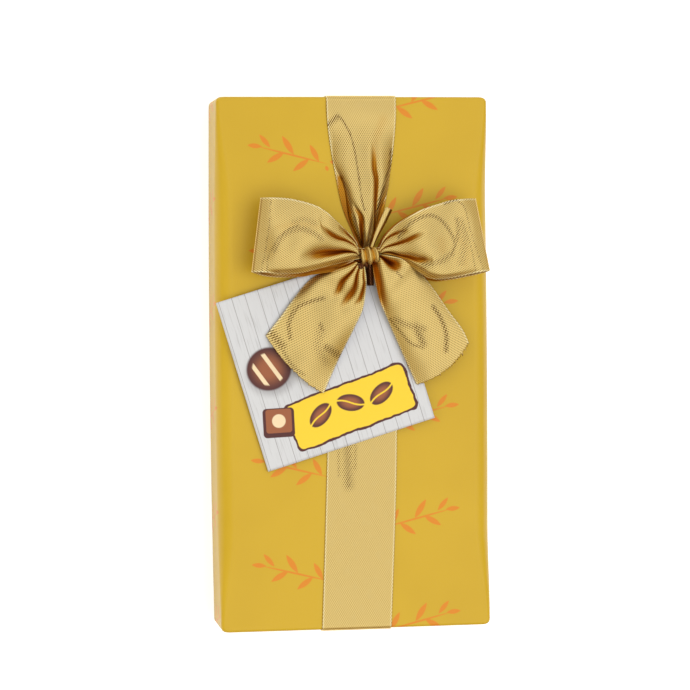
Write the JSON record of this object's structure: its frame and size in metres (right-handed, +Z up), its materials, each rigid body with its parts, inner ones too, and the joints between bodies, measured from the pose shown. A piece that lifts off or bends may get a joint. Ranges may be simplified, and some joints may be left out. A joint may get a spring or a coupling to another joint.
{
  "type": "gift box of chocolates",
  "caption": "Flat paper-covered gift box with a lift-off lid, a gathered ribbon bow and a hang tag, holding pralines in a formed insert.",
  "frame": {"origin": "middle of the underside of the base", "axes": "+Z up through the lid, +Y along the box's length towards the end nearer the bow, +X across its width"},
  "size_m": [0.0987, 0.19, 0.0395],
  "materials": {
    "base_board": "matte",
    "insert": "satin",
    "milk_chocolate": "satin",
    "dark_chocolate": "satin",
    "white_chocolate": "satin",
    "lid_board": "matte",
    "gold_paper": "satin",
    "pad_paper": "satin",
    "ribbon": "satin",
    "tie": "satin",
    "tag_card": "satin"
  },
  "bodies": {
    "base": {"base_board": "base_board", "insert_tray": "insert", "praline_dome_a": "milk_chocolate", "praline_square_a": "dark_chocolate", "praline_log_a": "dark_chocolate", "praline_oval_a": "white_chocolate", "praline_oval_b": "milk_chocolate", "praline_log_b": "milk_chocolate", "praline_square_b": "white_chocolate", "praline_dome_b": "dark_chocolate"},
    "lid": {"lid_board": "lid_board", "lid_wrap": "gold_paper", "lid_pad": "pad_paper", "ribbon_band": "ribbon"},
    "bow": {"bow_loop_left": "ribbon", "bow_loop_right": "ribbon", "bow_tail_left": "ribbon", "bow_tail_right": "ribbon", "bow_knot": "ribbon", "tie_end_up": "ribbon", "tie_end_down": "tie"},
    "tag": {"hang_tag": "tag_card"}
  },
  "joints": [
    {"name": "lid_lift", "type": "slide", "parent": "base", "child": "lid", "axis": [0, 0, 1], "range_m": [0, 0.08]},
    {"name": "bow_turn", "type": "hinge", "parent": "lid", "child": "bow", "pos_m": [0.0052, 0.0332, 0.0285], "axis": [0, 0, 1], "range_deg": [-12, 12]},
    {"name": "tag_swing", "type": "hinge", "parent": "lid", "child": "tag", "pos_m": [0.0052, 0.0332, 0.0284], "axis": [0, 0, 1], "range_deg": [-20, 40]}
  ]
}
